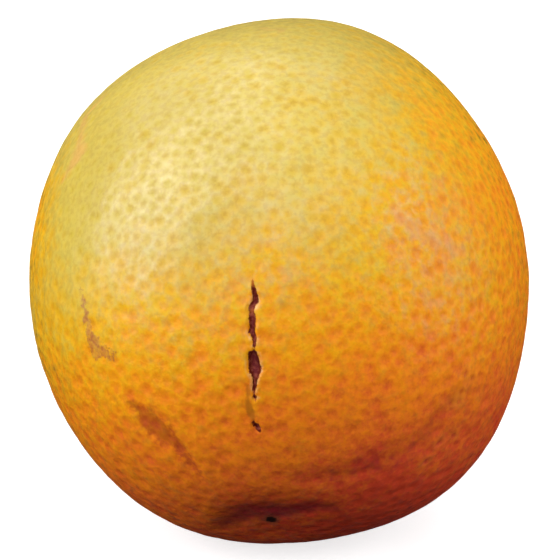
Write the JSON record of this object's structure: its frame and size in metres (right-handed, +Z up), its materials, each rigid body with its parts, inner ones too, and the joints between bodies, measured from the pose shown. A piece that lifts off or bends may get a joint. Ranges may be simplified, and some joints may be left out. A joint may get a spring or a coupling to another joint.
{
  "type": "orange",
  "caption": "Whole sweet orange with pored peel, a short dry split, a small blossom scar and a dried stem button, lying on its side.",
  "frame": {"origin": "on the surface that the fruit rests on, at the middle of its footprint box", "axes": "+Z up, -Y the front with the split, the blossom end down and forward, the stem button up and back (+Y)"},
  "size_m": [0.075, 0.0784, 0.0759],
  "materials": {
    "peel": "waxy, pored, semi-gloss",
    "dried_calyx": "matt, dry, ridged"
  },
  "bodies": {
    "root": {"orange": "peel", "stem_button": "dried_calyx"}
  },
  "joints": []
}
